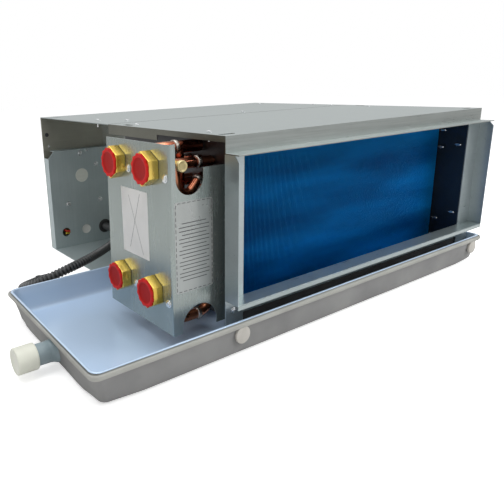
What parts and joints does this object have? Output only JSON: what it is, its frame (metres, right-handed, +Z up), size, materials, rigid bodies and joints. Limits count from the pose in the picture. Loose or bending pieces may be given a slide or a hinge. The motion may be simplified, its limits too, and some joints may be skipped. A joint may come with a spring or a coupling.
{
  "type": "fan coil unit",
  "caption": "Ducted fan coil unit with a sheet casing, blue finned water coil, twin blower, capped brass connections, insulated drain pan and a loose conduit",
  "frame": {"origin": "middle of the underside of the whole unit, on the surface that it stands on", "axes": "X runs along the unit to the right, Y from the discharge mouth to the back, Z up"},
  "size_m": [0.779, 0.5584, 0.2556],
  "materials": {
    "galvanised_steel": "bright galvanised sheet",
    "top_sheet": "pale galvanised sheet with a rolling grain",
    "blue_fins": "blue coated aluminium fins",
    "copper": "copper tube, slightly tarnished",
    "brass": "machined brass",
    "red_plastic": "moulded red plastic",
    "cream_plastic": "moulded cream plastic",
    "pan_steel": "pale painted sheet",
    "grey_foam": "closed cell foam",
    "plug_foam": "foam plug",
    "blue_grey_plastic": "moulded plastic",
    "black_plastic": "black plastic",
    "black_rubber": "black rubber",
    "dark_steel": "dark enamel",
    "bright_steel": "plated steel",
    "white_plastic": "white plastic",
    "wire_colours": "coloured insulation",
    "filter_fabric": "woven filter mesh"
  },
  "bodies": {
    "unit": {"top_panel_front": "top_sheet", "top_panel_rear": "top_sheet", "front_rail": "galvanised_steel", "end_frame_left": "galvanised_steel", "end_frame_right": "galvanised_steel", "side_panel_right": "galvanised_steel", "coil_fins": "blue_fins", "coil_end_plate_left": "galvanised_steel", "coil_end_plate_right": "galvanised_steel", "coil_tubes": "copper", "hairpin_bends": "copper", "return_bends": "copper", "connection_bracket": "galvanised_steel", "union_lower_front": "brass", "union_lower_rear": "brass", "union_upper_front": "brass", "union_upper_rear": "brass", "cooling_supply_header": "copper", "cooling_return_header": "copper", "heating_supply_pipe": "copper", "heating_return_pipe": "copper", "air_vent_body": "brass", "drain_pan": "pan_steel", "pan_insulation": "grey_foam", "pan_plugs": "plug_foam", "drain_spigot": "blue_grey_plastic", "fan_deck": "galvanised_steel", "bottom_panel": "galvanised_steel", "rear_panel": "galvanised_steel", "bay_partition": "galvanised_steel", "fan_housing_left": "galvanised_steel", "fan_housing_right": "galvanised_steel", "fan_motor": "dark_steel", "motor_saddle": "galvanised_steel", "control_box": "galvanised_steel", "knock_out_disc": "bright_steel", "cable_grommet": "black_rubber", "terminal_block": "white_plastic", "motor_capacitor": "white_plastic", "box_wires": "wire_colours", "top_screws": "bright_steel", "bracket_screws": "bright_steel", "box_screws": "bright_steel", "foot_screw": "bright_steel", "filter_rail_bottom": "galvanised_steel", "filter_rail_top": "galvanised_steel", "conduit": "black_plastic", "conduit_end": "black_plastic"},
    "rotor": {"fan_shaft": "bright_steel", "impeller_left": "bright_steel", "impeller_right": "bright_steel"},
    "cap_upper_front_body": {"cap_upper_front": "red_plastic"},
    "cap_upper_rear_body": {"cap_upper_rear": "red_plastic"},
    "cap_lower_front_body": {"cap_lower_front": "red_plastic"},
    "cap_lower_rear_body": {"cap_lower_rear": "red_plastic"},
    "drain_cap_body": {"drain_cap": "cream_plastic"},
    "vent_knob_body": {"air_vent_knob": "brass"},
    "filter": {"filter_frame": "black_plastic", "filter_mesh": "filter_fabric"}
  },
  "joints": [
    {"name": "fan_spin", "type": "hinge", "parent": "unit", "child": "rotor", "pos_m": [0.1709, 0.11985, 0.113], "axis": [1, 0, 0], "continuous": true},
    {"name": "cap_upper_front_pull", "type": "slide", "parent": "unit", "child": "cap_upper_front_body", "axis": [-1, 0, 0], "range_m": [0, 0.03]},
    {"name": "cap_upper_rear_pull", "type": "slide", "parent": "unit", "child": "cap_upper_rear_body", "axis": [-1, 0, 0], "range_m": [0, 0.03]},
    {"name": "cap_lower_front_pull", "type": "slide", "parent": "unit", "child": "cap_lower_front_body", "axis": [-1, 0, 0], "range_m": [0, 0.03]},
    {"name": "cap_lower_rear_pull", "type": "slide", "parent": "unit", "child": "cap_lower_rear_body", "axis": [-1, 0, 0], "range_m": [0, 0.03]},
    {"name": "drain_cap_pull", "type": "slide", "parent": "unit", "child": "drain_cap_body", "axis": [-1, 0, 0], "range_m": [0, 0.04]},
    {"name": "vent_knob_turn", "type": "hinge", "parent": "unit", "child": "vent_knob_body", "pos_m": [-0.1975, -0.21665, 0.2215], "axis": [0, -1, 0], "range_deg": [0, 540]},
    {"name": "filter_slide", "type": "slide", "parent": "unit", "child": "filter", "axis": [1, 0, 0], "range_m": [0, 0.39]}
  ]
}
